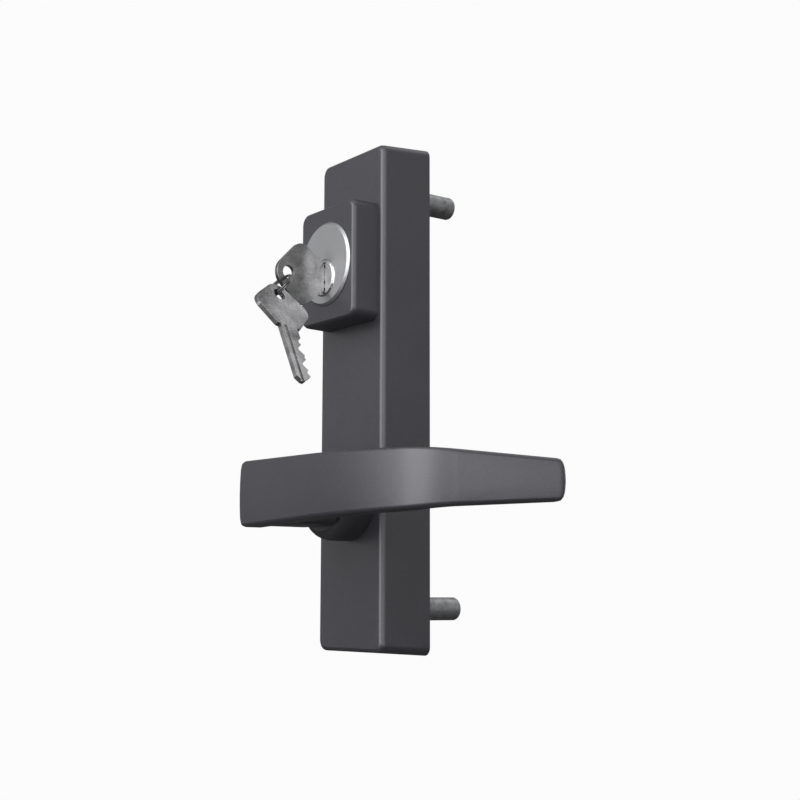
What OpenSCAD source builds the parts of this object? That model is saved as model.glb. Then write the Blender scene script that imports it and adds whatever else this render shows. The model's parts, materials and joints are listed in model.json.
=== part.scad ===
// Outside lever trim for an exit door: a tall escutcheon with a keyed rim
// cylinder above and a return lever below. Pressing the lever turns a sector
// gear, which lifts a toothed bar whose finger works the latch in the door.
// Millimetres. X runs right as seen from outside, +Y into the door, +Z up.
// The origin is the centre of the escutcheon on the face of the door.

/* [Escutcheon] */
// Width of the escutcheon at its front face
plate_w = 43.6; // [42:0.1:56]
// Height of the escutcheon at its front face
plate_h = 203.2; // [198:0.1:240]
// Depth from the door to the front face
plate_d = 23.2; // [22.6:0.1:27]
// Draft: how much each long side spreads towards the door
draft_side = 1; // [0.4:0.1:2]
// Draft: how much each end spreads towards the door
draft_end = 1.35; // [0.4:0.05:2.4]
// Radius of the escutcheon's four corners
corner_r = 3.4; // [2.6:0.1:6]
// Rounding of the front edge, across the front face
edge_r = 1.8; // [1:0.1:2.5]
// Rounding of the front edge, down the sides
edge_deep = 2.4; // [1:0.1:3]
// Thickness of the front wall
face_t = 2.8; // [2:0.1:3.4]
// Thickness of the side walls at the front
wall_t = 2.6; // [2:0.1:2.8]

/* [Back plate] */
// Thickness of the plate that closes the back
back_t = 2; // [1.5:0.1:2.4]
// Width of the ledge that the plate seats on
ledge_w = 1.2; // [0.8:0.1:1.6]
// Radius of the countersunk plate screws
screw_r = 1.5; // [1.2:0.05:1.8]
// Length of the plate screws
screw_len = 12; // [8:0.5:15]

/* [Mounting posts] */
// Distance of the upper post's axis from the escutcheon's top end
post_top = 14.2; // [13.5:0.1:18]
// Distance of the lower post's axis from the escutcheon's bottom end
post_low = 16.8; // [13.5:0.1:18]
// Radius of a post
post_r = 4.76; // [4:0.01:5.4]
// How much thinner a post's root is than the post, and the depth of its conical seat
post_step = 0.8; // [0.4:0.1:1.4]
// How far the upper post stands out of the back
upper_reach = 28.5; // [18:0.5:50]
// How far the lower post stands out of the back
lower_reach = 31; // [18:0.5:50]
// Radius of the threaded bore in a post's end
thread_r = 2.6; // [2:0.05:3]
// Depth of the threaded bore
thread_len = 12; // [8:0.5:16]
// How deep a post is set into its boss
post_set = 14; // [8:0.5:17]
// Wall of the boss around a post
boss_wall = 3.2; // [2.4:0.1:4]

/* [Cylinder guard] */
// Distance of the cylinder's centre from the escutcheon's top end
guard_top = 47.9; // [45.6:0.1:51.6]
// Width of the guard block
guard_w = 37.6; // [37.4:0.1:40]
// Height of the guard block
guard_h = 48.2; // [44:0.1:52]
// How far the guard block stands out of the escutcheon
guard_d = 12.2; // [10:0.1:16]
// Radius of the guard's corners
guard_corner = 3.8; // [3:0.1:6]
// Rounding of the guard's front edge, across its front face
guard_edge = 1.3; // [0.8:0.1:1.4]
// Rounding of the guard's front edge, down its sides
guard_edge_deep = 2.3; // [0.8:0.1:3]
// Draft: how much each side of the guard spreads towards the escutcheon
guard_draft = 0.2; // [0.1:0.05:0.6]
// Radius of the screws that hold the guard
guard_screw_r = 1.6; // [1.2:0.05:1.9]
// How far the guard screws run into the guard
guard_bite = 7; // [4:0.5:9]

/* [Rim cylinder] */
// Radius of the cylinder's head
head_r = 17.1; // [16.2:0.05:17.15]
// Thickness of the head
head_t = 3.6; // [3:0.1:4.6]
// How far the head stands out of the guard
head_proud = 1.2; // [0.4:0.1:2]
// Radius of the cylinder's body
body_r = 14.6; // [14.2:0.05:14.9]
// Length of the body behind its head
body_len = 27; // [26:0.1:29]
// Wall of the ring nut on the body
nut_wall = 2.8; // [2:0.1:3]
// Thickness of the ring nut
nut_t = 4; // [2.5:0.1:6]
// How far the plug's axis lies below the cylinder's centre
plug_drop = 5.9; // [5.6:0.05:6.1]
// Radius of the plug
plug_r = 6.35; // [6.1:0.01:6.5]
// Radius of the plug's front flange
flange_r = 7.6; // [7.1:0.05:8.2]
// Thickness of the plug's front flange
flange_t = 1.4; // [1:0.1:2]
// Number of pin stacks
pin_count = 5; // [3:1:5]
// Distance between pin stacks
pin_pitch = 3.96; // [3.7:0.01:4.1]
// Distance from the head's face to the first pin stack
first_pin = 6.6; // [6:0.1:7.5]
// Radius of a pin
pin_r = 1.42; // [1.2:0.01:1.5]
// Length of a driver pin
driver_len = 4.5; // [3.5:0.1:6]

/* [Tailpiece] */
// Width of the flat tailpiece
tail_w = 5.6; // [4.5:0.1:6.4]
// Thickness of the tailpiece
tail_t = 1.6; // [1.2:0.1:2.2]
// How far the tailpiece stands out of the back
tail_reach = 11; // [8:0.5:20]

/* [Key] */
// Thickness of a key
key_t = 2; // [1.6:0.1:2.3]
// Length of the key's bow
bow_len = 22; // [20:0.1:28]
// Width of the key's bow
bow_w = 25; // [22:0.1:28]
// Length of the key's blade
blade_len = 28; // [26:0.5:29]
// Width of the bow at its neck
neck_w = 11; // [9:0.1:14]
// Radius of the hole in the bow
eye_r = 2.6; // [2.2:0.1:3]
// Distance from the bow's end to the hole's centre
eye_in = 5.2; // [4.8:0.1:6]
// Height of the blade's back below the plug's axis
blade_low = 4.3; // [3.6:0.1:4.6]
// Height of the uncut blade above the plug's axis
blade_high = 3.9; // [3.4:0.1:4.2]

/* [Key ring] */
// Radius of the ring at the middle of its wire
ring_r = 6.5; // [6.3:0.1:9]
// Radius of the ring's wire
wire_r = 0.8; // [0.5:0.05:0.9]
// How far the ring leans down from level
ring_lean = 50; // [40:1:60]
// Place of the spare key around the ring, from the first key
spare_at = 138; // [134:0.5:143]

/* [Lever] */
// Distance of the lever's axis from the escutcheon's bottom end
lever_low = 61.6; // [57.6:0.1:65.6]
// Distance of the lever's outer face from the door at the hub
lever_front = 64.3; // [60:0.1:70]
// How far the lever runs past the spindle
hub_end = 18; // [14:0.1:20]
// Length of the straight run at the hub
hub_run = 52.4; // [40:0.5:60]
// Length of the bowed blade
blade_run = 52.5; // [36:0.5:60]
// Length of the return bend
bend_run = 20; // [16:0.5:40]
// Length of the straight return towards the door
return_run = 38.3; // [24:0.1:42]
// Angle by which the hub run leans away from the door
lean_out = 2.8; // [0:0.1:5]
// Angle by which the blade turns back
blade_turn = 19.8; // [10:0.5:22]
// Angle of the return bend
bend_turn = 52.5; // [45:0.5:62]
// Height of the lever at the hub
lever_h = 26.2; // [23:0.1:30]
// Height of the lever where the return bend starts
mid_h = 21.4; // [16:0.1:24]
// Height of the lever at its tip
tip_h = 14.6; // [10:0.1:18]
// Thickness of the lever at the hub
lever_t = 9.6; // [7.5:0.1:12]
// Thickness of the lever at its tip
tip_t = 6.4; // [5:0.1:9]
// Rounding of the lever's long edges
lever_edge = 1.6; // [1:0.1:2.4]
// Width of the hub block behind the blade
hub_w = 27.4; // [25:0.1:30]

/* [Collar and bushing] */
// Radius of the collar on the escutcheon
collar_r = 17.9; // [15.5:0.1:18.5]
// Radius of the collar's nose
collar_nose = 15.2; // [13.5:0.1:15.5]
// Length of the collar
collar_len = 13.8; // [12:0.1:16]
// Length of the collar's tapered nose
nose_len = 6.5; // [3:0.1:8]
// Outer radius of the bushing
bush_r = 11.5; // [10.8:0.05:12]
// Radius of the bushing's flange
bush_flange_r = 14; // [12.6:0.1:15]
// Thickness of the bushing's flange
bush_flange_t = 1.2; // [0.8:0.1:1.6]

/* [Spindle and gear] */
// Radius of the spindle's round journal
journal_r = 9; // [8:0.05:9.4]
// Side of the spindle's square ends
square = 8; // [7:0.1:8.6]
// How far the square runs into the lever
square_in = 17; // [12:0.5:18]
// Radius of the lever's set screw
set_r = 2.4; // [1.8:0.1:2.6]
// Module of the gear teeth
gear_m = 1; // [0.95:0.01:1.05]
// Teeth on the gear's full circle
gear_teeth = 18; // [18:1:19]
// Thickness of the gear
gear_t = 4; // [3:0.1:4.4]
// Play between gear and rack teeth
backlash = 0.12; // [0.08:0.01:0.2]
// Radius of the gear's stop lobe
lobe_r = 15.2; // [14.5:0.1:16]
// Radius at which the stop pin runs
stop_at = 12; // [11.5:0.1:12.4]
// Radius of the stop pin
stop_r = 1.5; // [1.2:0.05:1.7]
// Turn of the lever when it is pressed right down
lever_turn = 45; // [30:1:50]

/* [Lift bar] */
// Width of the lift bar behind its teeth
bar_w = 6.2; // [5:0.1:6.6]
// Height of the bar's top above the spindle
bar_up = 31.5; // [26:0.5:34]
// Length of the bar's lower part below the spindle
bar_down = 38; // [34:0.5:40]
// Width of the lift finger
finger_w = 5; // [4:0.1:5.4]
// Height of the lift finger
finger_h = 5; // [4:0.1:7]
// How far the finger stands out of the back
finger_reach = 11; // [8:0.5:14]

/* [Springs] */
// Radius of the return spring's wire
coil_wire = 0.8; // [0.6:0.05:0.9]
// Mean radius of the return spring
coil_r = 10.8; // [10.2:0.1:12]
// Turns of the return spring
coil_turns = 3; // [2:1:4]
// Radius of the pin springs' wire
pin_wire = 0.2; // [0.15:0.01:0.25]

/* [Hidden] */
$fn = 48;

// Radial play of parts that turn or are pressed in
fit = 0.05;
// Play around parts that drop into a bore
drop_gap = 0.15;
// Air between parts that pass one another
air = 0.3;
// Overlap that makes a cut pass right through
cut = 1;
// Fineness of the circles inside a hull
hull_fn = 32;

// Depths along Y, negative towards the outside
y_face = -plate_d;
y_inner = y_face + face_t;
y_plate = -back_t;
y_guard = y_face - guard_d;
y_head = y_guard - head_proud;
y_seat = y_head + head_t;
y_body = y_seat + body_len;

// Heights of the two axes and the plug
z_cyl = plate_h / 2 - guard_top;
z_plug = z_cyl - plug_drop;
z_lever = lever_low - plate_h / 2;
z_upper = plate_h / 2 - post_top;
z_lower = post_low - plate_h / 2;

// Pocket behind the front wall and the rebate for the back plate
pocket_w = plate_w - 2 * wall_t;
pocket_h = plate_h - 2 * wall_t;
rebate_w = pocket_w + 2 * ledge_w;
rebate_h = pocket_h + 2 * ledge_w;
boss_r = post_r + boss_wall;
root_r = post_r - post_step;
pillar_r = screw_r + 2.6;
pillar_x = pocket_w / 2 - pillar_r + 0.3;
pillar_z = pocket_h / 2 - pillar_r + 0.3;
screw_head_r = 1.9 * screw_r;

// Guard screws stand on a diagonal, clear of the ring nut
guard_screw_x = guard_w / 2 - 4.4;
guard_screw_z = guard_h / 2 - 4.4;
guard_head_r = 1.6 * guard_screw_r;
guard_head_t = 1.5;

// Plug, its bore, its pins and its rear cap
bore_r = plug_r + fit;
chamber_r = pin_r + 0.08;
nut_r = body_r + fit + nut_wall;
slot_floor = z_cyl + body_r - 1.4;
slot_w = 2 * chamber_r + 1.2;
pin_top = sqrt(plug_r * plug_r - pin_r * pin_r) - fit;
driver_low = bore_r + 0.02;
// Depth of each cut in the key, above the plug's axis
cuts = [2.3, 1.1, 2.9, 0.8, 1.9];
cut_flat = 0.55;
stub_r = 5;
y_stub = y_body + 2.6;
cap_r = flange_r - 0.2;
y_cap = y_body + drop_gap + 0.1;
cap_floor = 0.8;
y_cap_end = y_stub + fit + cap_floor;
// The back plate's hole clears the tailpiece, and the plug's cap where that reaches the plate
tail_air = 1.2;
tail_hole_r = y_cap_end + air > y_plate ? cap_r + air : tail_w / 2 + tail_air;
tail_in = 3.4;
y_keyway_end = y_body - 3;
y_plug = y_head - air;

// Keys are drawn about the middle of the hole in the bow
y_shoulder = y_plug - air;
eye_to_shoulder = bow_len - eye_in;
y_eye = y_shoulder - eye_to_shoulder;
ward_d = 0.6;
ward_a = -2.6;
ward_b = 0.9;
ward_h = 1.3;

// Ring hangs in the first key's hole, the spare key on the ring
hang = eye_r - wire_r - air;
ring_top = [0, y_eye, z_plug - hang];
ring_dir = [0, -cos(ring_lean), -sin(ring_lean)];
ring_mid = ring_top + ring_r * ring_dir;
spare_turn = [-98.9, -31.8, 10.8];
spare_dir = [cos(spare_turn[2]) * sin(spare_turn[1]) * sin(spare_turn[0]) - sin(spare_turn[2]) * cos(spare_turn[0]),
             sin(spare_turn[2]) * sin(spare_turn[1]) * sin(spare_turn[0]) + cos(spare_turn[2]) * cos(spare_turn[0]),
             cos(spare_turn[1]) * sin(spare_turn[0])];
spare_hook = ring_mid - ring_r * cos(spare_at) * ring_dir + ring_r * sin(spare_at) * [1, 0, 0];
spare_eye = spare_hook + hang * spare_dir;

// Lever stack along the spindle
y_collar = y_face - collar_len;
y_hub = y_collar - air;
bush_in = journal_r + fit;
y_bush_end = y_inner + bush_flange_t;
gear_pitch = gear_m * gear_teeth / 2;
gear_root = gear_pitch - 1.25 * gear_m;
gear_tip = gear_pitch + 0.95 * gear_m;
pressure_a = 20;
gear_base = gear_pitch * cos(pressure_a);
y_gear = -12.5;
y_gear_end = y_gear + gear_t;
ring_t = 1;
y_ring = y_gear_end + 0.1;
y_spindle_end = y_ring + ring_t + 1;
groove_r = square / 2 * 1.12;
// Sector of teeth: the first stands at the rack, the rest follow the turn
first_tooth = -1;
last_tooth = ceil(lever_turn * gear_teeth / 360) + 1;
travel = gear_pitch * lever_turn * PI / 180;
stop_a = -lever_turn / 2;

// Lift bar, to the left of the gear
rack_x = -gear_pitch;
bar_right = rack_x - 1.25 * gear_m;
bar_left = bar_right - bar_w;
bar_mid = (bar_left + bar_right) / 2;
y_bar = y_gear - air;
y_bar_end = y_gear_end + air;
rack_pitch = PI * gear_m;
finger_pin = 1.8;
guide_t = 1.6;
guide_h = 6;
guide_up = z_lever + bar_up - 4;
guide_low = z_lever - bar_down + guide_h / 2 + travel + 3.5;
finger_z = guide_up - guide_h / 2 - travel - finger_h / 2 - 2 * air;

// A flat profile in X and Z, run from depth a back to depth b
module run_y(a, b) {
    translate([0, b, 0]) rotate([90, 0, 0]) linear_extrude(b - a) children();
}

// A round bar or bore along Y from depth a to depth b
module bar_y(r, a, b, x = 0, z = 0) {
    translate([x, a, z]) rotate([-90, 0, 0]) cylinder(r = r, h = b - a);
}

// A turned shape about the Y axis; its profile is [radius, depth] points
module turned_y(points, z = 0) {
    translate([0, 0, z]) rotate([-90, 0, 0]) rotate_extrude($fn = 64) polygon(points);
}

// A block between two corners
module block(a, b) {
    translate(a) cube(b - a);
}

// A rounded rectangle, for hulls
module soft_rect(w, h, r) {
    offset(r = r) square([w - 2 * r, h - 2 * r], center = true);
}

// A block with drafted sides, rounded corners and a front edge rounded by edge across and deep along
module soft_block(w, h, r, front, back, edge, deep, draft_w = 0, draft_h = 0, z = 0) {
    leaf = 0.01;
    hull($fn = hull_fn) {
        for (a = [0 : 22.5 : 90])
            translate([0, 0, z]) run_y(front + deep * (1 - sin(a)), front + deep * (1 - sin(a)) + leaf)
                soft_rect(w - 2 * edge * (1 - cos(a)), h - 2 * edge * (1 - cos(a)), r, $fn = hull_fn);
        translate([0, 0, z]) run_y(back - leaf, back)
            soft_rect(w + 2 * draft_w, h + 2 * draft_h, r, $fn = hull_fn);
    }
}

// Places of the four plate screws
module at_pillars() {
    for (sx = [-1, 1])
        for (sz = [-1, 1])
            translate([sx * pillar_x, 0, sz * pillar_z]) children();
}

// Places of the two guard screws
module at_guard_screws() {
    for (s = [-1, 1])
        translate([-s * guard_screw_x, 0, z_cyl + s * guard_screw_z]) children();
}

// Depth of a pin stack
function pin_y(i) = y_head + first_pin + i * pin_pitch;

// Rings of a round wire along a path whose cross directions are given
function wire_points(path, out, along, r, n) =
    [for (i = [0 : len(path) - 1]) for (k = [0 : n - 1])
        path[i] + r * cos(360 * k / n) * out[i] + r * sin(360 * k / n) * along];

// Faces of a tube made of m rings with n points each
function tube_faces(m, n) = concat(
    [[for (k = [n - 1 : -1 : 0]) k]],
    [for (i = [0 : m - 2]) for (k = [0 : n - 1])
        [i * n + k, i * n + (k + 1) % n, (i + 1) * n + (k + 1) % n, (i + 1) * n + k]],
    [[for (k = [0 : n - 1]) (m - 1) * n + k]]);

// A coil about the Z axis from height 0 to h, with straight ends along its tangents
module coil(r, wire, turns, h, steps, sides, tail = 0) {
    turn = 360 * turns;
    arc = [for (i = [0 : steps]) i * turn / steps];
    out = [for (a = arc) [cos(a), sin(a), 0]];
    mid = [for (i = [0 : steps]) r * out[i] + [0, 0, h * i / steps]];
    path = tail == 0 ? mid : concat([mid[0] - [0, tail, 0]], mid,
        [mid[steps] + tail * [-sin(turn), cos(turn), 0]]);
    dirs = tail == 0 ? out : concat([out[0]], out, [out[steps]]);
    polyhedron(wire_points(path, dirs, [0, 0, 1], wire, sides), tube_faces(len(path), sides), convexity = 6);
}

// The escutcheon: a drafted shell with bosses for the posts and plate screws
module escutcheon() {
    color("#4b4c4f") difference() {
        union() {
            difference() {
                soft_block(plate_w, plate_h, corner_r, y_face, 0, edge_r, edge_deep, draft_side, draft_end);
                block([-pocket_w / 2, y_inner, -pocket_h / 2], [pocket_w / 2, cut, pocket_h / 2]);
                block([-rebate_w / 2, y_plate, -rebate_h / 2], [rebate_w / 2, cut, rebate_h / 2]);
            }
            for (z = [z_upper, z_lower]) bar_y(boss_r, y_inner - cut, y_plate, z = z);
            at_pillars() bar_y(pillar_r, y_inner - cut, y_plate);
        }
        for (z = [z_upper, z_lower]) bar_y(root_r + fit, y_plate - post_set, cut, z = z);
        at_pillars() bar_y(screw_r + fit, -screw_len - 1, cut);
        bar_y(body_r + drop_gap, y_face - cut, y_inner + cut, z = z_cyl);
        bar_y(bush_r + fit, y_face - cut, y_inner + cut, z = z_lever);
        at_guard_screws() bar_y(guard_screw_r + drop_gap, y_face - cut, y_inner + cut);
    }
}

// The raised guard block around the cylinder's head
module cylinder_guard() {
    color("#4a4b4e") difference() {
        soft_block(guard_w, guard_h, guard_corner, y_guard, y_face, guard_edge, guard_edge_deep,
                   guard_draft, guard_draft, z_cyl);
        bar_y(head_r + drop_gap, y_guard - cut, y_seat, z = z_cyl);
        bar_y(body_r + drop_gap, y_guard, y_face + cut, z = z_cyl);
        at_guard_screws() bar_y(guard_screw_r + fit, y_face - guard_bite - 1, y_face + cut);
    }
}

// Pan-head screws that hold the guard from inside
module guard_screws() {
    color("#8d8f92") at_guard_screws() difference() {
        union() {
            bar_y(guard_screw_r, y_face - guard_bite, y_inner + 0.5);
            bar_y(guard_head_r, y_inner, y_inner + guard_head_t);
        }
        block([-guard_head_r, y_inner + guard_head_t - 0.5, -0.25], [guard_head_r, y_inner + guard_head_t + cut, 0.25]);
    }
}

// The turned collar in front of the escutcheon
module lever_collar() {
    rim = 0.8;
    color("#46474a") difference() {
        turned_y(concat(
            [[0, y_face], [collar_r, y_face]],
            [[collar_r, y_collar + nose_len]],
            [for (a = [15 : 15 : 90])
                [collar_nose + (collar_r - collar_nose) * cos(a),
                 y_collar + nose_len * (1 - sin(a)) + rim * sin(a)]],
            [[collar_nose - rim, y_collar], [0, y_collar]]), z_lever);
        bar_y(bush_r + fit, y_collar - cut, y_face + cut, z = z_lever);
    }
}

// The flanged bearing bush that the spindle turns in
module hub_bushing() {
    color("#a57c46") difference() {
        union() {
            bar_y(bush_r, y_collar, y_inner + fit, z = z_lever);
            bar_y(bush_flange_r, y_inner, y_bush_end, z = z_lever);
        }
        bar_y(bush_in, y_collar - cut, y_bush_end + cut, z = z_lever);
    }
}

// The plate that closes the back, with its slots and screw seats
module back_plate() {
    slot_low = finger_z - finger_h / 2 - air;
    slot_high = finger_z + finger_h / 2 + travel + air;
    color("#9b9ea1") difference() {
        block([drop_gap - rebate_w / 2, y_plate, drop_gap - rebate_h / 2],
              [rebate_w / 2 - drop_gap, 0, rebate_h / 2 - drop_gap]);
        for (z = [z_upper, z_lower]) {
            bar_y(root_r + fit, y_plate - cut, cut, z = z);
            translate([0, -post_step, z]) rotate([-90, 0, 0])
                cylinder(r1 = root_r + fit, r2 = post_r + fit, h = post_step);
        }
        at_pillars() {
            bar_y(screw_r + fit, y_plate - cut, cut);
            translate([0, -screw_head_r + screw_r, 0]) rotate([-90, 0, 0])
                cylinder(r1 = screw_r + fit, r2 = screw_head_r + fit, h = screw_head_r - screw_r);
        }
        bar_y(tail_hole_r, y_plate - cut, cut, z = z_plug);
        block([bar_mid - finger_w / 2 - air, y_plate - cut, slot_low],
              [bar_mid + finger_w / 2 + air, cut, slot_high]);
        bar_y(stop_r + fit, y_plate - cut, cut, x = stop_at * cos(stop_a), z = z_lever + stop_at * sin(stop_a));
    }
}

// Countersunk screws that hold the back plate
module plate_screws() {
    cone = screw_head_r - screw_r;
    color("#85878a") at_pillars() difference() {
        union() {
            bar_y(screw_r, -screw_len, -cone + 0.01);
            translate([0, -cone, 0]) rotate([-90, 0, 0]) cylinder(r1 = screw_r, r2 = screw_head_r, h = cone - fit);
        }
        for (a = [0, 90]) rotate([0, a, 0]) block([-screw_r, -0.8, -0.3], [screw_r, cut, 0.3]);
    }
}

// A mounting post: a root in the boss, a conical seat in the back plate and a threaded free end
module post(z, reach) {
    chamfer = 1.1;
    y_set = y_plate - post_set;
    color("#7d7f82") difference() {
        turned_y([[0, y_set + 0.1], [root_r - 0.6, y_set + 0.1], [root_r, y_set + 0.7], [root_r, -post_step],
                  [post_r, 0], [post_r, reach - chamfer],
                  [post_r - 0.3 * chamfer, reach - 0.3 * chamfer], [post_r - chamfer, reach], [0, reach]], z);
        bar_y(thread_r, reach - thread_len, reach + cut, z = z);
    }
}

module upper_post() { post(z_upper, upper_reach); }
module lower_post() { post(z_lower, lower_reach); }

// The rim cylinder's shell: head, body, plug bore and pin chambers
module cylinder_shell() {
    bevel = 0.9;
    color("#b4b6b8") difference() {
        turned_y([[0, y_head], [head_r - bevel, y_head], [head_r, y_head + bevel], [head_r, y_seat],
                  [body_r, y_seat], [body_r, y_body], [0, y_body]], z_cyl);
        bar_y(bore_r, y_head - cut, y_body + cut, z = z_plug);
        bar_y(flange_r + fit, y_head - cut, y_plug + flange_t + fit, z = z_plug);
        for (i = [0 : pin_count - 1])
            translate([0, pin_y(i), z_plug]) cylinder(r = chamber_r, h = slot_floor - z_plug + cut);
        block([-slot_w / 2, pin_y(0) - 2.4, slot_floor],
              [slot_w / 2, pin_y(pin_count - 1) + 2.4, z_cyl + body_r + cut]);
    }
}

// The ring nut that clamps the cylinder behind the front wall
module cylinder_nut() {
    notch = 3;
    color("#a3a5a8") difference() {
        bar_y(nut_r, y_inner, y_inner + nut_t, z = z_cyl);
        bar_y(body_r + fit, y_inner - cut, y_inner + nut_t + cut, z = z_cyl);
        for (a = [0 : 60 : 300])
            translate([0, 0, z_cyl]) rotate([0, a, 0])
                block([nut_r - 1.3, y_inner + nut_t - 1.5, -notch / 2], [nut_r + cut, y_inner + nut_t + cut, notch / 2]);
    }
}

// Spring-loaded driver pins above the plug
module driver_pins() {
    color("#c9a24f") for (i = [0 : pin_count - 1])
        translate([0, pin_y(i), z_plug + driver_low]) union() {
            cylinder(r = pin_r, h = driver_len - 0.4);
            cylinder(r = pin_r - 0.4, h = driver_len);
        }
}

// Springs that press the driver pins down
module pin_springs() {
    low = z_plug + driver_low + driver_len + pin_wire;
    color("#c8cacc") for (i = [0 : pin_count - 1])
        translate([0, pin_y(i), low])
            coil(pin_r - 2 * pin_wire, pin_wire, 4, slot_floor - pin_wire - low, 32, 5);
}

// The strip that closes the pin chambers
module chamber_cover() {
    color("#b9994c") block([-slot_w / 2 + fit, pin_y(0) - 2.4 + fit, slot_floor],
                           [slot_w / 2 - fit, pin_y(pin_count - 1) + 2.4 - fit, slot_floor + 1.1]);
}

// The pin in the back plate that stops the gear at both ends
module stop_pin() {
    color("#8a8c8f") bar_y(stop_r, y_gear + air, -air, x = stop_at * cos(stop_a), z = z_lever + stop_at * sin(stop_a));
}

// The torsion spring that lifts the lever
module return_spring() {
    low = y_bush_end + coil_wire + 0.02;
    high = y_gear - coil_wire - 0.02;
    color("#b7babd") translate([0, low, z_lever]) rotate([-90, 0, 0])
        coil(coil_r, coil_wire, coil_turns, high - low, 24 * coil_turns, 8, tail = 5.5);
}

// Brackets on the back plate that guide the lift bar
module bar_guides() {
    color("#94979a") for (z = [guide_low, guide_up])
        difference() {
            block([bar_left - air - guide_t, y_bar - air - guide_t, z - guide_h / 2],
                  [bar_right + air + guide_t, y_plate, z + guide_h / 2]);
            block([bar_left - air, y_bar - air, z - guide_h], [bar_right + air, y_bar_end + air, z + guide_h]);
            block([bar_left + guide_t, y_bar_end, z - guide_h], [bar_right - guide_t, y_plate - guide_t, z + guide_h]);
        }
}

// Runs of the lever's outer line: [length, turn]
runs = [[hub_run, 0], [blade_run, blade_turn], [bend_run, bend_turn], [return_run, 0]];
line_len = hub_run + blade_run + bend_run + return_run;

// Point and heading on the outer line at distance s along it
function walk(s, p = [-hub_end, -lever_front], a = -lean_out, i = 0) =
    let (d = i == len(runs) - 1 ? s : min(s, runs[i][0]),
         turn = runs[i][1] * d / runs[i][0],
         step = abs(turn) < 0.001 ? d * [cos(a), sin(a)]
              : d / (turn * PI / 180) * [sin(a + turn) - sin(a), cos(a) - cos(a + turn)])
    s <= runs[i][0] || i == len(runs) - 1 ? [p + step, a + turn]
    : walk(s - runs[i][0], p + step, a + turn, i + 1);

// Share of the full section at distance s from an end that is rounded over e
function swell(s, e) = s >= e ? 1 : pow(1 - pow(1 - max(s, 0.04) / e, 2.6), 1 / 2.6);

// Height and thickness of the lever at distance s along its line
function lever_high(s) = lookup(s, [[0, lever_h], [hub_run + blade_run, mid_h], [line_len, tip_h]]);
function lever_thick(s) = lookup(s, [[0, lever_t], [hub_run + blade_run, 0.95 * lever_t], [line_len, tip_t]]);

// One section of the lever, as points in space
function lever_ring(s) =
    let (w = walk(s), a = w[1],
         f = min(swell(s, 4.2), swell(line_len - s, 3)),
         h = lever_high(s) / 2 * f,
         full = lever_thick(s),
         t = full * (0.5 + 0.5 * f),
         r = min(lever_edge, 0.6 * h, 0.4 * t),
         crown = 0.35 * f,
         side = [for (b = [0 : 30 : 90]) [t / 2 - r + r * cos(b), h - r + r * sin(b)]],
         face = [for (q = [-0.5, 0, 0.5]) [t / 2 + crown * (1 - q * q), q * (h - r)]],
         loop = concat(face, side,
                       [for (i = [3 : -1 : 0]) [-side[i][0], side[i][1]]],
                       [[-t / 2, 0]],
                       [for (p = side) [-p[0], -p[1]]],
                       [for (i = [3 : -1 : 0]) [side[i][0], -side[i][1]]]))
    [for (q = loop) [w[0][0] - sin(a) * (full / 2 - q[0]), w[0][1] + cos(a) * (full / 2 - q[0]), z_lever + q[1]]];

// Distances of the lever's sections: close at its two ends, even between
lever_stations = concat([0, 0.25, 0.7, 1.4, 2.6, 4.2],
                        [for (i = [1 : 38]) 4.2 + i * (line_len - 7.2) / 39],
                        [for (e = [3, 1.9, 1, 0.45, 0.15, 0]) line_len - e]);

// The lever: a tapered bowed blade that returns to the door, with its hub block
module lever_handle() {
    rings = [for (s = lever_stations) lever_ring(s)];
    n = len(rings[0]);
    ease = lever_t / 8;
    block_r = lever_h / 7;
    y_block = -lever_front + lever_t - ease;
    socket = square / 2 + fit;
    color("#56575a") difference() {
        union() {
            polyhedron([for (r = rings) for (p = r) p], tube_faces(len(rings), n), convexity = 6);
            hull() {
                translate([0, 0, z_lever]) run_y(y_block - 0.01, y_block) soft_rect(hub_w, lever_h - ease, block_r, $fn = hull_fn);
                translate([0, 0, z_lever]) run_y(y_hub - ease, y_hub - ease + 0.01)
                    soft_rect(hub_w - ease, lever_h - ease, block_r, $fn = hull_fn);
                translate([0, 0, z_lever]) run_y(y_hub - 0.01, y_hub)
                    soft_rect(hub_w - 3 * ease, lever_h - 3 * ease, block_r, $fn = hull_fn);
            }
        }
        block([-socket, y_hub - square_in - 0.5, z_lever - socket], [socket, y_hub + cut, z_lever + socket]);
        translate([0, y_hub - square_in / 2, z_lever - lever_h]) cylinder(r = set_r + fit, h = lever_h);
    }
}

// The spindle: square ends on a round journal, grooved for its ring
module lever_spindle() {
    half = square / 2;
    color("#9a9da0") difference() {
        union() {
            block([-half, y_hub - square_in, z_lever - half], [half, y_spindle_end, z_lever + half]);
            bar_y(journal_r, y_hub + 0.2, y_bush_end + 0.4, z = z_lever);
        }
        difference() {
            bar_y(square, y_ring, y_ring + ring_t + 0.1, z = z_lever);
            bar_y(groove_r, y_ring - cut, y_ring + ring_t + cut, z = z_lever);
        }
    }
}

// The grub screw under the lever's hub
module lever_set_screw() {
    top = z_lever - square / 2 - fit;
    low = z_lever - lever_h / 2 + 1.6;
    color("#6d6f72") translate([0, y_hub - square_in / 2, low]) difference() {
        cylinder(r = set_r, h = top - low);
        translate([0, 0, -cut]) cylinder(r = set_r / 2, h = cut + 2.2, $fn = 6);
    }
}

// Involute angle, in degrees
function involute(a) = tan(a) * 180 / PI - a;

// Half the angle of a tooth at radius r
function tooth_half(r) = 90 / gear_teeth - backlash / 2 / gear_pitch * 180 / PI
    + involute(pressure_a) - involute(acos(gear_base / max(r, gear_base)));

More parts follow.
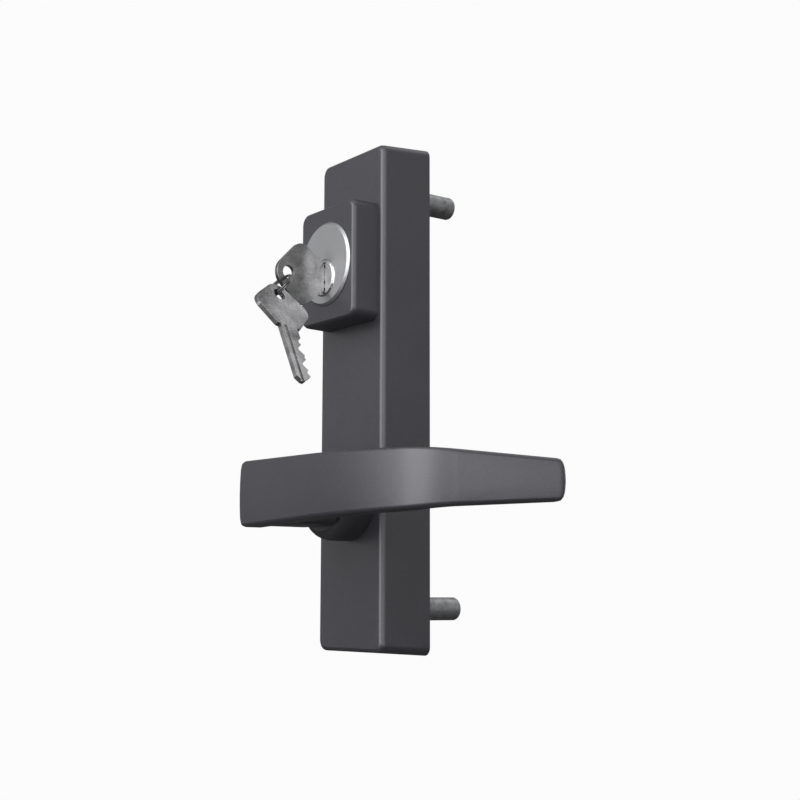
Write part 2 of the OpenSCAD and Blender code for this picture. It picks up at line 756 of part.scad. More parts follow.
// One gear tooth pointing along X
module gear_tooth() {
    steps = 5;
    radii = concat([gear_root - 0.6], [for (i = [0 : steps]) gear_base + i * (gear_tip - gear_base) / steps]);
    polygon(concat([for (r = radii) r * [cos(tooth_half(r)), -sin(tooth_half(r))]],
                   [for (i = [len(radii) - 1 : -1 : 0])
                       radii[i] * [cos(tooth_half(radii[i])), sin(tooth_half(radii[i]))]]));
}

// The sector gear with its stop lobe
module hub_gear() {
    hole = square / 2 + fit;
    slot_half = stop_r + air;
    reach = 2 * lobe_r;
    lobe_spread = 14;
    lobe_half = lever_turn / 2 + lobe_spread;
    lobe_side = reach * [cos(lobe_half), sin(lobe_half)];
    color("#b0a27a") translate([0, 0, z_lever]) difference() {
        union() {
            bar_y(gear_root, y_gear, y_gear_end);
            run_y(y_gear, y_gear_end) for (k = [first_tooth : last_tooth])
                rotate(180 + k * 360 / gear_teeth) gear_tooth();
            run_y(y_gear, y_gear_end) intersection() {
                circle(r = lobe_r, $fn = 96);
                polygon([[0, 0], [lobe_side.x, -lobe_side.y], [reach, 0], lobe_side]);
            }
        }
        block([-hole, y_gear - cut, -hole], [hole, y_gear_end + cut, hole]);
        run_y(y_gear - cut, y_gear_end + cut) difference() {
            circle(r = stop_at + slot_half, $fn = 96);
            circle(r = stop_at - slot_half, $fn = 96);
            for (s = [-1, 1]) rotate(s * (lever_turn / 2 + 90)) translate([0, -reach]) square(2 * reach);
            rotate(180) translate([0, -reach]) square(2 * reach);
        }
        for (s = [-1, 1])
            bar_y(slot_half, y_gear - cut, y_gear_end + cut,
                  x = stop_at * cos(lever_turn / 2), z = s * stop_at * sin(lever_turn / 2));
    }
}

// The split ring that keeps the gear on the spindle
module retaining_ring() {
    color("#7c7e81") translate([0, 0, z_lever]) difference() {
        bar_y(square * 0.86, y_ring + 0.03, y_ring + ring_t);
        bar_y(groove_r + fit, y_ring - cut, y_ring + ring_t + cut);
        block([-2, y_ring - cut, -square], [2, y_ring + ring_t + cut, 0]);
    }
}

// The toothed bar that the gear lifts
module lift_bar() {
    depth = 1.25 * gear_m;
    reach = 0.95 * gear_m;
    root = PI * gear_m / 4 - backlash / 2 + depth * tan(20);
    tip = PI * gear_m / 4 - backlash / 2 - reach * tan(20);
    color("#a9acaf") difference() {
        union() {
            block([bar_left, y_bar, z_lever - bar_down], [bar_right, y_bar_end, z_lever + bar_up]);
            for (j = [-3 - ceil(travel / rack_pitch) : 1])
                translate([rack_x, 0, z_lever + (j + 0.5) * rack_pitch]) run_y(y_bar + air, y_bar_end - air)
                    polygon([[-depth - 0.2, -root], [-depth, -root], [reach, -tip], [reach, tip], [-depth, root],
                             [-depth - 0.2, root]]);
        }
        bar_y(finger_pin + fit, y_bar - cut, y_bar_end + cut, x = bar_mid, z = finger_z);
    }
}

// The finger on the lift bar that reaches through the back plate
module lift_finger() {
    color("#8f9295") union() {
        bar_y(finger_pin, y_bar + 0.2, y_bar_end + cut, x = bar_mid, z = finger_z);
        block([bar_mid - finger_w / 2, y_bar_end, finger_z - finger_h / 2],
              [bar_mid + finger_w / 2, finger_reach, finger_z + finger_h / 2]);
    }
}

// Cross-section of the blade; grow turns it into the keyway that takes it
module key_section(grow = 0) {
    half = key_t / 2 + grow;
    deep = key_t / 2 - ward_d + grow;
    polygon([[-half, -blade_low - grow], [half, -blade_low - grow],
             [half, ward_a + grow], [deep, ward_a + grow], [deep, ward_a + ward_h - grow], [half, ward_a + ward_h - grow],
             [half, blade_high + grow], [-half, blade_high + grow],
             [-half, ward_b + ward_h - grow], [-deep, ward_b + ward_h - grow], [-deep, ward_b + grow],
             [-half, ward_b + grow]]);
}

// The keyed plug with its flange, keyway, chambers and slotted rear stub
module cylinder_plug() {
    color("#d3d5d7") translate([0, 0, z_plug]) difference() {
        union() {
            turned_y([[0, y_plug], [flange_r - 0.5, y_plug], [flange_r, y_plug + 0.5], [flange_r, y_plug + flange_t],
                      [plug_r, y_plug + flange_t], [plug_r, y_body], [stub_r, y_body], [stub_r, y_stub], [0, y_stub]]);
        }
        run_y(y_plug - cut, y_keyway_end) key_section(0.12);
        for (i = [0 : pin_count - 1])
            translate([0, pin_y(i), 0]) cylinder(r = chamber_r, h = plug_r + cut);
        block([-tail_t / 2 - fit, y_stub - tail_in, -tail_w / 2 - fit], [tail_t / 2 + fit, y_stub + cut, tail_w / 2 + fit]);
    }
}

// Key pins standing in the key's cuts
module key_pins() {
    tip = pin_r - 0.45;
    color("#c9a24f") for (i = [0 : pin_count - 1])
        translate([0, pin_y(i), z_plug + cuts[i] + 0.03]) union() {
            cylinder(r1 = pin_r - tip, r2 = pin_r, h = tip);
            translate([0, 0, tip - 0.01]) cylinder(r = pin_r, h = pin_top - cuts[i] - 0.02 - tip);
        }
}

// The cap that holds the plug and the tailpiece
module plug_cap() {
    color("#aeb0b3") difference() {
        bar_y(cap_r, y_cap, y_cap_end, z = z_plug);
        bar_y(stub_r + fit, y_cap - cut, y_stub + fit, z = z_plug);
        bar_y(norm([tail_w, tail_t]) / 2 + fit, y_cap, y_stub + 3, z = z_plug);
    }
}

// The flat tailpiece that carries the plug's turn into the door
module tailpiece() {
    color("#9da0a3") translate([0, 0, z_plug]) difference() {
        block([-tail_t / 2, y_stub - tail_in + fit, -tail_w / 2], [tail_t / 2, tail_reach, tail_w / 2]);
        for (s = [-1, 1])
            translate([0, tail_reach, s * tail_w / 2]) rotate([45, 0, 0]) cube([2 * tail_t, 1.6, 1.6], center = true);
    }
}

// A key about the middle of its hole: X through it, Y towards the tip, Z its cuts
module key_shape() {
    near = -eye_in;
    far = eye_to_shoulder;
    end_r = 6.6;
    lobe_r = 4.6;
    lobe_in = 10.6;
    lobe_y = far - lobe_in;
    blade_end = far + blade_len;
    tip_z = -1.6;
    tip_top = 4.2;
    tip_low = 2;
    grow_out = 0.01;
    first = y_head + first_pin - y_eye;
    difference() {
        union() {
            rotate([90, 0, 90]) translate([0, 0, -key_t / 2]) linear_extrude(key_t) hull() {
                translate([near + end_r, 0]) circle(r = end_r, $fn = 48);
                for (s = [-1, 1]) translate([lobe_y, s * (bow_w / 2 - lobe_r)]) circle(r = lobe_r, $fn = 36);
                translate([far - cut, -neck_w / 2]) square([cut, neck_w]);
            }
            run_y(far - 1, blade_end) key_section();
        }
        rotate([0, 90, 0]) translate([0, 0, -key_t]) cylinder(r = eye_r, h = 2 * key_t);
        for (i = [0 : 4])
            translate([-key_t, first + i * pin_pitch, cuts[i]]) rotate([90, 0, 90]) linear_extrude(2 * key_t)
                polygon([[-cut_flat, 0], [cut_flat, 0], [cut_flat + 4, 4], [-cut_flat - 4, 4]]);
        translate([-key_t, blade_end, 0]) rotate([90, 0, 90]) linear_extrude(2 * key_t) {
            polygon([[-tip_top, blade_high + grow_out], [0, tip_z + 0.7], [cut, tip_z + 0.7], [cut, blade_high + grow_out]]);
            polygon([[-tip_low, -blade_low - grow_out], [0, tip_z - 0.7], [cut, tip_z - 0.7], [cut, -blade_low - grow_out]]);
        }
    }
}

module key() {
    color("#b9babb") translate([0, y_eye, z_plug]) key_shape();
}

// The ring that joins the two keys
module key_ring() {
    color("#8b8d90") translate(ring_mid) rotate([ring_lean, 0, 0])
        rotate_extrude($fn = 64) translate([ring_r, 0]) circle(r = wire_r, $fn = 24);
}

// The second key, hanging from the ring
module spare_key() {
    color("#b0b1b3") translate(spare_eye) rotate(spare_turn) key_shape();
}

escutcheon();
cylinder_guard();
guard_screws();
lever_collar();
hub_bushing();
back_plate();
plate_screws();
upper_post();
lower_post();
cylinder_shell();
cylinder_nut();
driver_pins();
pin_springs();
chamber_cover();
stop_pin();
return_spring();
bar_guides();
lever_handle();
lever_spindle();
lever_set_screw();
hub_gear();
retaining_ring();
lift_bar();
lift_finger();
cylinder_plug();
key_pins();
plug_cap();
tailpiece();
key();
key_ring();
spare_key();
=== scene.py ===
"""Looks of a lever door lock: powder-coated escutcheon, guard and lever, satin cylinder, keys on a ring.

Everything is in metres in the part's own frame: X right, +Y into the door, +Z up.
"""

import json
import math
from collections import namedtuple

import bmesh
import bpy
from mathutils import Matrix, Vector


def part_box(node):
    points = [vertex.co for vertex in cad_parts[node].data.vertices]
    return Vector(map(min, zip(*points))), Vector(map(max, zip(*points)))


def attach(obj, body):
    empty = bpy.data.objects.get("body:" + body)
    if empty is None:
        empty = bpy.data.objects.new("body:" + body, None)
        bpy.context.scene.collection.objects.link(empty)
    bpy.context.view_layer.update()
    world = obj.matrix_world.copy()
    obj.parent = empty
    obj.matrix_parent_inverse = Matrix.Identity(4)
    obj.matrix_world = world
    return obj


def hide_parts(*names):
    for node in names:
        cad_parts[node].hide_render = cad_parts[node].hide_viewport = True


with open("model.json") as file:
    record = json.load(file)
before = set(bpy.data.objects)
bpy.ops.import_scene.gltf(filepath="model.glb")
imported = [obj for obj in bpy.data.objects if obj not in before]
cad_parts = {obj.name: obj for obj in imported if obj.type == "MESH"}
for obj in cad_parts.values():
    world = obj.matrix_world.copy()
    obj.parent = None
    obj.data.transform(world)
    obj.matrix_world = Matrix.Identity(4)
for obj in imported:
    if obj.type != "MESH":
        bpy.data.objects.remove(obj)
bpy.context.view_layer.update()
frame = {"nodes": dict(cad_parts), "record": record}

MM = 0.001
UP = Vector((0, 0, 1))
BODY_OF = {node: body for body, nodes in frame["record"]["behaviour"]["bodies"].items() for node in nodes}
SLOT_OF = {part["node"]: part["material_slot"] for part in frame["record"]["subparts"]}

# How each refined node's sharp edges are rounded: width in mm, segments, and the least angle of such an edge
# in degrees. The escutcheon and the guard have their rounding in the CAD, so only their shading is refined.
Edge = namedtuple("Edge", "width_mm segments angle", defaults=(40,))
EDGES = {
    "escutcheon": Edge(0, 0, 60),
    "cylinder_guard": Edge(0, 0, 60),
    "lever_collar": Edge(0.3, 3),
    "lever_handle": Edge(0.3, 2, 60),
    "cylinder_shell": Edge(0.12, 3),
    "cylinder_plug": Edge(0.1, 3),
    "key": Edge(0.14, 2),
    "spare_key": Edge(0.14, 2),
    "back_plate": Edge(0.15, 2),
    "upper_post": Edge(0.25, 3),
    "lower_post": Edge(0.25, 3),
    "plate_screws": Edge(0.1, 2),
    "tailpiece": Edge(0.15, 2),
    "lift_finger": Edge(0.2, 2),
    "plug_cap": Edge(0.15, 2),
    "cylinder_nut": Edge(0.2, 2),
}

# Directions around the lock are in degrees. Azimuth 0 is straight in front, and 90 is to the right of that.
# A softbox has its distance, and its width and height, in metres.
Softbox = namedtuple("Softbox", "azimuth elevation distance size radiance")
SOFTBOXES = {
    "front_softbox": Softbox(8, 13, 1.5, (1.6, 2.2), 2.45),
    "fill_softbox": Softbox(50, 8, 1.5, (0.75, 1.5), 1.1),
    "right_softbox": Softbox(80, 6, 1.5, (0.5, 1.2), 1.9),
    "edge_softbox": Softbox(101, 0, 1.5, (0.34, 1.3), 0.75),
    "back_softbox": Softbox(180, 47, 1.5, (0.9, 0.8), 0.8),
    "rear_softbox": Softbox(168, 2, 1.6, (0.8, 1.1), 0.9),
}
LIGHT_TINT = (0.985, 0.985, 1.03)

# The room's grey by height, as (share of the way from below to above, tone), and its darker patches.
# A patch's factor counts fully inside the near angle from its middle, and not at all outside the far angle.
ROOM_HEIGHTS = [(0.40, 0.07), (0.50, 0.55), (0.62, 0.8), (1.0, 0.95)]
ROOM_WARMTH = -0.02
Patch = namedtuple("Patch", "azimuth elevation near far factor")
ROOM_PATCHES = [
    Patch(126, 24, 20, 50, 0.42),
    Patch(-60, 5, 18, 50, 0.72),
    Patch(-105, 45, 25, 60, 0.4),
    Patch(-127, -8, 15, 40, 0.2),
]
BACKDROP_TONE = 0.97


# Node trees

class Nodes:
    """A node tree whose nodes are added by short calls."""

    def __init__(self, tree):
        self.tree = tree

    def node(self, kind, inputs=None, **settings):
        """A new node. A value in inputs that is another node's output is linked, any other is set."""
        made = self.tree.nodes.new(kind)
        for key, value in settings.items():
            setattr(made, key, value)
        for key, value in (inputs or {}).items():
            if isinstance(value, bpy.types.NodeSocket):
                self.link(value, made.inputs[key])
            else:
                made.inputs[key].default_value = value
        return made

    def link(self, output, target):
        self.tree.links.new(output, target)

    def math(self, operation, first, second=0.0):
        return self.node("ShaderNodeMath", {0: first, 1: second}, operation=operation).outputs[0]

    def weighted(self, first, second, share):
        """The mean of two values, in which the first counts for share."""
        return self.math("ADD", self.math("MULTIPLY", first, share), self.math("MULTIPLY", second, 1 - share))


class Shader(Nodes):
    """A Principled material whose patterns lie in the object's own coordinates."""

    def __init__(self, name, metallic, roughness=0.3):
        self.material = bpy.data.materials.new(name)
        self.material.use_nodes = True
        super().__init__(self.material.node_tree)
        self.surface = self.tree.nodes["Principled BSDF"]
        self.surface.inputs["Metallic"].default_value = metallic
        self.surface.inputs["Roughness"].default_value = roughness
        self.place = self.node("ShaderNodeTexCoord").outputs["Object"]

    def stretched(self, scale, turn=(0, 0, 0)):
        """Object coordinates, turned and then scaled along each axis."""
        values = {"Vector": self.place, "Scale": scale, "Rotation": turn}
        return self.node("ShaderNodeMapping", values).outputs[0]

    def noise(self, scale, detail, where=None, rough=0.5):
        values = {"Vector": where or self.place, "Scale": scale, "Detail": detail, "Roughness": rough}
        return self.node("ShaderNodeTexNoise", values).outputs["Fac"]

    def line_noise(self, along, scale, detail):
        """Noise that changes only with the one number it is given."""
        values = {"W": along, "Scale": scale, "Detail": detail}
        return self.node("ShaderNodeTexNoise", values, noise_dimensions="1D").outputs["Fac"]

    def ramp(self, value, low, high, first, last):
        """The colour first where value is up to low, last from high on, and a blend between."""
        ramp = self.node("ShaderNodeValToRGB", {"Fac": value})
        start, end = ramp.color_ramp.elements
        start.position, end.position = low, high
        start.color, end.color = first, last
        return ramp.outputs["Color"]

    def overlaid(self, share, base, over):
        """The colour over on top of base, by share."""
        base_input, over_input, colour_output = 6, 7, 2
        values = {"Factor": share, base_input: base, over_input: over}
        return self.node("ShaderNodeMix", values, data_type="RGBA").outputs[colour_output]

    def colour(self, socket):
        self.link(socket, self.surface.inputs["Base Color"])

    def roughness(self, value, low, high):
        """Sets the roughness to low where value is 0 and high where it is 1."""
        spread = self.node("ShaderNodeMapRange", {"Value": value, "To Min": low, "To Max": high})
        self.link(spread.outputs[0], self.surface.inputs["Roughness"])

    def bump(self, height, distance, strength, below=None):
        values = {"Height": height, "Distance": distance, "Strength": strength}
        if below is not None:
            values["Normal"] = below
        return self.node("ShaderNodeBump", values).outputs["Normal"]

    def normal(self, socket):
        self.link(socket, self.surface.inputs["Normal"])


# Materials

def grey(value, warmth=0.0):
    """A linear grey, a little warm or cool."""
    return (value * (1 + warmth), value, value * (1 - warmth), 1)


def powder_coat():
    """Satin charcoal powder coat: fine orange peel, faint mottling and tiny bright specks."""
    s = Shader("dark_coat", metallic=0.0, roughness=0.42)
    s.surface.inputs["IOR"].default_value = 1.8
    dark, light = (0.0212, 0.0204, 0.0250, 1), (0.0258, 0.0248, 0.0300, 1)
    mottled = s.ramp(s.noise(scale=34, detail=4), low=0.3, high=0.7, first=dark, last=light)
    specks = s.ramp(s.noise(scale=5200, detail=1), low=0.66, high=0.74, first=grey(0), last=grey(1))
    s.colour(s.overlaid(specks, mottled, grey(0.115)))
    s.roughness(s.noise(scale=70, detail=3), low=0.34, high=0.42)
    peel = s.bump(s.noise(scale=900, detail=2), distance=0.06 * MM, strength=0.35)
    s.normal(s.bump(s.noise(scale=4200, detail=2), distance=0.012 * MM, strength=0.5, below=peel))
    return s.material


def brushed_zinc():
    """Zinc-plated sheet, brushed along its height."""
    s = Shader("zinc_plate", metallic=1.0)
    lines = s.noise(scale=1, detail=3, where=s.stretched((1500, 1500, 45)), rough=0.6)
    tone = s.weighted(lines, s.noise(scale=60, detail=3), share=0.7)
    dark, light = (0.54, 0.55, 0.58, 1), (0.68, 0.68, 0.69, 1)
    s.colour(s.ramp(tone, low=0.3, high=0.7, first=dark, last=light))
    s.roughness(lines, low=0.42, high=0.58)
    s.normal(s.bump(lines, distance=0.008 * MM, strength=0.6))
    return s.material


def turned_metal(name, dark, light, centre, rough, rings_per_m):
    """Metal turned about an axis along Y through centre: fine rings on its faces, and a cloudy tone."""
    s = Shader(name, metallic=1.0)
    place = s.node("ShaderNodeSeparateXYZ", {0: s.place}).outputs
    across = s.math("SUBTRACT", place[0], centre.x)
    above = s.math("SUBTRACT", place[2], centre.z)
    across_squared, above_squared = s.math("MULTIPLY", across, across), s.math("MULTIPLY", above, above)
    radius = s.math("SQRT", s.math("ADD", across_squared, above_squared))
    rings = s.line_noise(s.math("ADD", radius, place[1]), scale=rings_per_m, detail=3)
    cloud = s.noise(scale=90, detail=4)
    s.colour(s.ramp(s.weighted(rings, cloud, share=0.6), low=0.3, high=0.7, first=dark, last=light))
    s.roughness(s.weighted(rings, cloud, share=0.5), *rough)
    s.normal(s.bump(rings, distance=0.004 * MM, strength=0.5))
    return s.material


def plated_metal(name, dark, light, rough, spots=260):
    """Plated or cast metal with a soft mottled tone and a faint grain."""
    s = Shader(name, metallic=1.0)
    cloud = s.noise(scale=spots, detail=5, rough=0.65)
    s.colour(s.ramp(cloud, low=0.32, high=0.68, first=dark, last=light))
    s.roughness(s.noise(scale=spots * 3, detail=3), *rough)
    s.normal(s.bump(s.noise(scale=3800, detail=2), distance=0.006 * MM, strength=0.4))
    return s.material


def key_metal():
    """Nickel silver worn smooth: a cloudy tone, faint lengthwise brushing and a few fine scratches."""
    s = Shader("nickel", metallic=1.0)
    grain = s.noise(scale=1, detail=3, where=s.stretched((700, 260, 3600)), rough=0.6)
    scratches = s.noise(scale=1, detail=2, where=s.stretched((160, 9000, 260), turn=(0.5, 0, 0.4)), rough=0.7)
    worn = s.ramp(scratches, low=0.64, high=0.70, first=grey(0), last=grey(1))
    cloud = s.noise(scale=150, detail=6, rough=0.65)
    tone = s.weighted(grain, cloud, share=0.25)
    base = s.ramp(tone, low=0.36, high=0.63, first=grey(0.2, 0.01), last=grey(0.415, 0.01))
    s.colour(s.overlaid(worn, base, grey(0.42)))
    s.roughness(cloud, low=0.2, high=0.34)
    waves = s.bump(s.noise(scale=420, detail=3), distance=0.02 * MM, strength=0.3)
    s.normal(s.bump(grain, distance=0.002 * MM, strength=0.4, below=waves))
    return s.material


def middle_of(node):
    """The middle of a CAD node's box."""
    lo, hi = (Vector(corner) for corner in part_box(node))
    return (lo + hi) / 2


def make_materials():
    """One procedural material for each slot of the record."""
    shell, plug = middle_of("cylinder_shell"), middle_of("cylinder_plug")
    brass, bright_brass = (0.56, 0.38, 0.14, 1), (0.72, 0.52, 0.22, 1)
    bronze, bright_bronze = (0.26, 0.15, 0.07, 1), (0.4, 0.25, 0.12, 1)
    oiled, bright_oiled = (0.2, 0.19, 0.17, 1), (0.32, 0.3, 0.26, 1)
    return {
        "dark_coat": powder_coat(),
        "satin_chrome": turned_metal("satin_chrome", grey(0.48), grey(0.56), shell, (0.34, 0.44), 9000),
        "bright_chrome": turned_metal("bright_chrome", grey(0.62), grey(0.72), plug, (0.06, 0.14), 5200),
        "nickel": key_metal(),
        "ring_steel": plated_metal("ring_steel", grey(0.13), grey(0.22), (0.16, 0.28)),
        "post_steel": plated_metal("post_steel", grey(0.2), grey(0.42), (0.4, 0.58), spots=330),
        "zinc_plate": brushed_zinc(),
        "screw_steel": plated_metal("screw_steel", grey(0.28), grey(0.4), (0.24, 0.4)),
        "pin_brass": plated_metal("pin_brass", brass, bright_brass, (0.2, 0.34)),
        "bronze": plated_metal("bronze", bronze, bright_bronze, (0.4, 0.55), spots=500),
        "spring_steel": plated_metal("spring_steel", grey(0.26), grey(0.38), (0.22, 0.36)),
        "gear_steel": plated_metal("gear_steel", oiled, bright_oiled, (0.36, 0.52), spots=420),
    }


# Meshes

def add_piece(name, mesh, slot, rides_with):
    """A new object that moves with a CAD node."""
    piece = bpy.data.objects.new(name, mesh)
    bpy.context.scene.collection.objects.link(piece)
    mesh.materials.clear()
    mesh.materials.append(materials[slot])
    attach(piece, BODY_OF[rides_with])
    return piece


def dress_plain_nodes():
    """Gives each CAD node that stays its procedural material and smooth curves."""
    for node, obj in frame["nodes"].items():
        obj.data.materials.clear()
        obj.data.materials.append(materials[SLOT_OF[node]])
        smooth(obj.data)


def smooth(mesh, angle=35):
    """Smooth faces, with hard edges where faces meet at more than angle."""
    mesh.polygons.foreach_set("use_smooth", [True] * len(mesh.polygons))
    mesh.set_sharp_from_angle(angle=math.radians(angle))


def round_edges(piece, edge):
    """Rounds a piece's sharp edges."""
    rounded = piece.modifiers.new("rounded_edges", "BEVEL")
    rounded.width = edge.width_mm * MM
    rounded.segments = edge.segments
    rounded.limit_method = "ANGLE"
    rounded.angle_limit = math.radians(edge.angle)
    rounded.miter_outer = "MITER_ARC"


def keep_flats(piece):
    """Lets a piece's large faces decide the shading where they meet small ones."""
    flats = piece.modifiers.new("flat_faces_stay_flat", "WEIGHTED_NORMAL")
    flats.keep_sharp = True


def refine(node, edge):
    """A CAD node's own form with its facets joined, its curves smooth and its sharp edges rounded."""
    weld, flat = 0.002 * MM, math.radians(0.6)
    bm = bmesh.new()
    bm.from_mesh(frame["nodes"][node].data)
    bmesh.ops.remove_doubles(bm, verts=bm.verts, dist=weld)
    bmesh.ops.dissolve_limit(
        bm, angle_limit=flat, verts=bm.verts, edges=bm.edges, use_dissolve_boundaries=False
    )
    mesh = bpy.data.meshes.new(f"fine_{node}")
    bm.to_mesh(mesh)
    bm.free()
    smooth(mesh, edge.angle)
    piece = add_piece(f"fine_{node}", mesh, SLOT_OF[node], node)
    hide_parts(node)
    if edge.width_mm:
        round_edges(piece, edge)
    keep_flats(piece)


def loft(name, rings, closed_ends=True):
    """A mesh through rings of points that have the same count."""
    count = len(rings[0])
    points = [p for ring in rings for p in ring]
    faces = [
        (i * count + k, i * count + (k + 1) % count, (i + 1) * count + (k + 1) % count, (i + 1) * count + k)
        for i in range(len(rings) - 1)
        for k in range(count)
    ]
    if closed_ends:
        faces.append(tuple(reversed(range(count))))
        faces.append(tuple(range(len(points) - count, len(points))))
    mesh = bpy.data.meshes.new(name)
    mesh.from_pydata(points, [], faces)
    bm = bmesh.new()
    bm.from_mesh(mesh)
    bmesh.ops.recalc_face_normals(bm, faces=bm.faces)
    bm.to_mesh(mesh)
    bm.free()
    smooth(mesh)
    return mesh


def flat_wire(middle, out, half_wide, half_thick, scale, sides=16):
    """Points round a flat wire whose width lies along out and whose thickness lies along Z."""
    squareness = 0.6
    points = []
    for k in range(sides):
        across, along = math.cos(math.tau * k / sides), math.sin(math.tau * k / sides)
        fullness = scale / max(abs(across), abs(along)) ** squareness
        points.append(middle + fullness * (half_wide * across * out + half_thick * along * UP))
    return points


def split_ring():
    """The key ring as a flat wire wound nearly twice, in the place of the plain ring.

    Halfway the wire crosses from the lower coil to the upper one. It thins towards its two ends.
    """
    lo, hi = (Vector(corner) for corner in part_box("key_ring"))
    centre = (lo + hi) / 2
    outer = (hi.x - lo.x) / 2
    half_wide, half_thick, line_in = 0.74 * MM, 0.4 * MM, 0.8 * MM
    turns, first_end, steps = 1.94, math.radians(100), 260
    crossing, fullness, tip, tip_growth = 9, 0.86, 0.35, 14
    drop = hi.z - lo.z - 4 * half_thick
    lean = math.asin(min(1, drop / (2 * (outer - 2 * half_thick))))
    tilt = Matrix.Rotation(lean, 3, "X")
    rings = []
    for i in range(steps + 1):
        share = i / steps
        angle = math.tau * turns * share + first_end
        out = Vector((math.cos(angle), math.sin(angle), 0))
        rise = half_thick * math.tanh(crossing * (share - 0.5))
        taper = min(1, tip + tip_growth * min(share, 1 - share))
        flat = flat_wire((outer - line_in) * out + rise * UP, out, half_wide, half_thick, taper * fullness)
        rings.append([centre + tilt @ point for point in flat])
    piece = add_piece("split_ring", loft("split_ring", rings), "ring_steel", "key_ring")
    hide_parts("key_ring")


def plug_bezel():
    """The raised, rounded rim on the front of the plug."""
    radius, half_wide, height, sides, steps = 6.55 * MM, 0.75 * MM, 0.42 * MM, 10, 96
    face = middle_of("cylinder_plug")
    face.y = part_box("cylinder_plug")[0][1]
    rings = []
    for i in range(steps):
        turn = math.tau * i / steps
        out = Vector((math.cos(turn), 0, math.sin(turn)))
        arch = []
        for k in range(sides + 1):
            along, rise = math.cos(math.pi * k / sides), math.sin(math.pi * k / sides)
            arch.append(face + (radius + half_wide * along) * out - Vector((0, height * rise, 0)))
        rings.append(arch)
    mesh = loft("plug_bezel", rings + rings[:1], closed_ends=False)
    add_piece("plug_bezel", mesh, "bright_chrome", "cylinder_plug")


# Stage, light and camera

def towards(azimuth, elevation):
    """The unit vector from the lock to a place around it."""
    around, above = math.radians(azimuth), math.radians(elevation)
    return Vector((math.sin(around) * math.cos(above), -math.cos(around) * math.cos(above), math.sin(above)))


def add_camera():
    """The photograph's view, fitted to its edges: from the right, level with the lower half, looking up."""
    place = Vector((465.91, -346.0, -80.4)) * MM
    azimuth, elevation, roll = 53.295, -7.702, math.radians(0.13)
    data = bpy.data.cameras.new("camera")
    data.sensor_width = 36
    data.lens = 63.47
    data.shift_x, data.shift_y = 0.00165, 0.00919
    data.clip_start, data.clip_end = 0.05, 20
    camera = bpy.data.objects.new("camera", data)
    bpy.context.scene.collection.objects.link(camera)
    ahead = (-towards(azimuth, elevation)).to_track_quat("-Z", "Y")
    camera.location = place
    camera.rotation_mode = "QUATERNION"
    camera.rotation_quaternion = ahead @ Matrix.Rotation(roll, 3, "Z").to_quaternion()
    bpy.context.scene.camera = camera


def add_softbox(name, box):
    """A rectangular soft light that faces the lock and that the camera doesn't see."""
    away = towards(box.azimuth, box.elevation)
    width, height = box.size
    data = bpy.data.lights.new(name, "AREA")
    data.shape = "RECTANGLE"
    data.size, data.size_y = width, height
    data.energy = box.radiance * math.pi * width * height
    data.color = LIGHT_TINT
    light = bpy.data.objects.new(name, data)
    light.visible_camera = False
    light.location = away * box.distance
    light.rotation_mode = "QUATERNION"
    light.rotation_quaternion = (-away).to_track_quat("-Z", "Y")
    bpy.context.scene.collection.objects.link(light)


def room_tone(sky, direction):
    """The room's grey by height."""
    upward = sky.node("ShaderNodeSeparateXYZ", {0: direction}).outputs[2]
    height = sky.node("ShaderNodeMapRange", {"Value": upward, "From Min": -1.0}).outputs[0]
    ramp = sky.node("ShaderNodeValToRGB", {"Fac": height})
    while len(ramp.color_ramp.elements) < len(ROOM_HEIGHTS):
        ramp.color_ramp.elements.new(0.5)
    for element, (share, tone) in zip(ramp.color_ramp.elements, ROOM_HEIGHTS):
        element.position, element.color = share, grey(tone, ROOM_WARMTH)
    return ramp.outputs["Color"]


def room_strength(sky, direction):
    """The product of the patches' factors in each direction."""
    strength = 1.0
    for patch in ROOM_PATCHES:
        middle = towards(patch.azimuth, patch.elevation)
        dot = sky.node("ShaderNodeVectorMath", {0: direction, 1: middle}, operation="DOT_PRODUCT")
        limits = {
            "Value": dot.outputs["Value"],
            "From Min": math.cos(math.radians(patch.far)),
            "From Max": math.cos(math.radians(patch.near)),
            "To Min": 1.0,
            "To Max": patch.factor,
        }
        part = sky.node("ShaderNodeMapRange", limits, interpolation_type="SMOOTHSTEP").outputs[0]
        strength = sky.math("MULTIPLY", strength, part)
    return strength


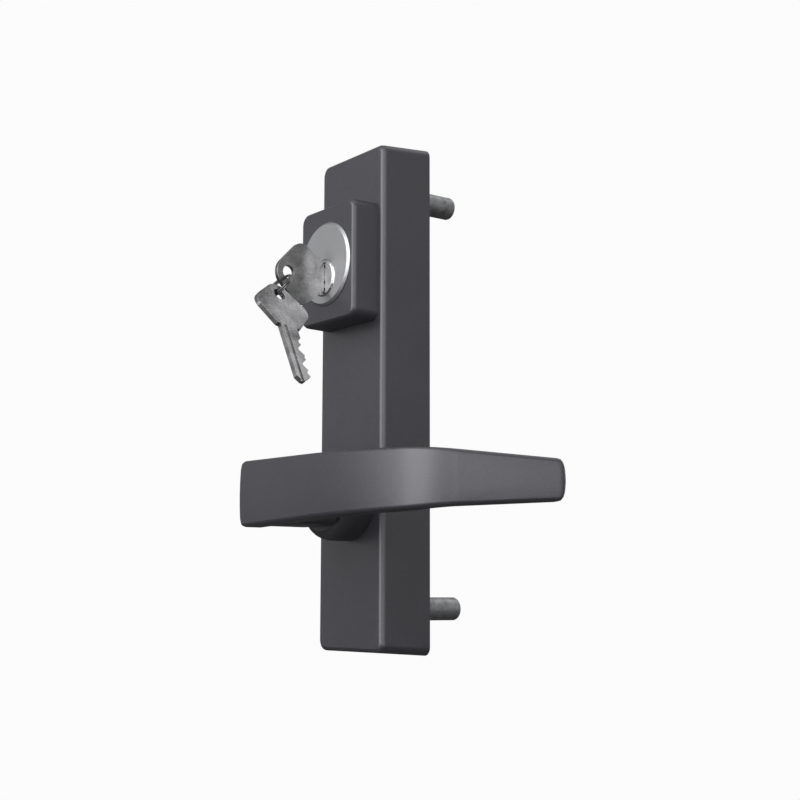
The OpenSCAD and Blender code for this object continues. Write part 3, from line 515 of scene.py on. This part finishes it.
def add_world():
    """White to the camera, and a grey room to everything else."""
    world = bpy.data.worlds.new("studio")
    bpy.context.scene.world = world
    world.use_nodes = True
    sky = Nodes(world.node_tree)
    direction = sky.node("ShaderNodeTexCoord").outputs["Generated"]
    room = sky.tree.nodes["Background"]
    sky.link(room_tone(sky, direction), room.inputs["Color"])
    sky.link(room_strength(sky, direction), room.inputs["Strength"])
    white = sky.node("ShaderNodeBackground", {"Color": grey(BACKDROP_TONE)})
    seen = sky.node("ShaderNodeLightPath").outputs["Is Camera Ray"]
    shown = sky.node("ShaderNodeMixShader", {0: seen, 1: room.outputs[0], 2: white.outputs[0]})
    sky.link(shown.outputs[0], sky.tree.nodes["World Output"].inputs["Surface"])


def add_floor():
    """A plain floor well below the lock: pale and fading into the white to the camera, dark to all else."""
    radius, depth, near, far, corners = 3.4, 0.62, 0.7, 2.8, 96
    place = (0, 0, -depth)
    bpy.ops.mesh.primitive_circle_add(vertices=corners, radius=radius, fill_type="NGON", location=place)
    floor = bpy.context.object
    floor.name = "floor"
    s = Shader("floor_white", metallic=0.0, roughness=0.75)
    s.colour(s.ramp(s.noise(scale=14, detail=3), low=0.3, high=0.7, first=grey(0.80), last=grey(0.83)))
    away = s.node("ShaderNodeVectorMath", {0: s.place}, operation="LENGTH").outputs["Value"]
    limits = {"Value": away, "From Min": near, "From Max": far}
    fade = s.node("ShaderNodeMapRange", limits, interpolation_type="SMOOTHSTEP")
    clear = s.node("ShaderNodeBsdfTransparent")
    pale = s.node("ShaderNodeMixShader", {0: fade.outputs[0], 1: s.surface.outputs[0], 2: clear.outputs[0]})
    dark = s.node("ShaderNodeBsdfDiffuse", {"Color": grey(0.1)})
    seen = s.node("ShaderNodeLightPath").outputs["Is Camera Ray"]
    shown = s.node("ShaderNodeMixShader", {0: seen, 1: dark.outputs[0], 2: pale.outputs[0]})
    s.link(shown.outputs[0], s.tree.nodes["Material Output"].inputs["Surface"])
    floor.data.materials.append(s.material)


add_camera()
materials = make_materials()
dress_plain_nodes()
for refined_node, refined_edge in EDGES.items():
    refine(refined_node, refined_edge)
split_ring()
plug_bezel()
add_world()
add_floor()
for box_name, softbox in SOFTBOXES.items():
    add_softbox(box_name, softbox)
bpy.context.scene.view_settings.view_transform = "Standard"
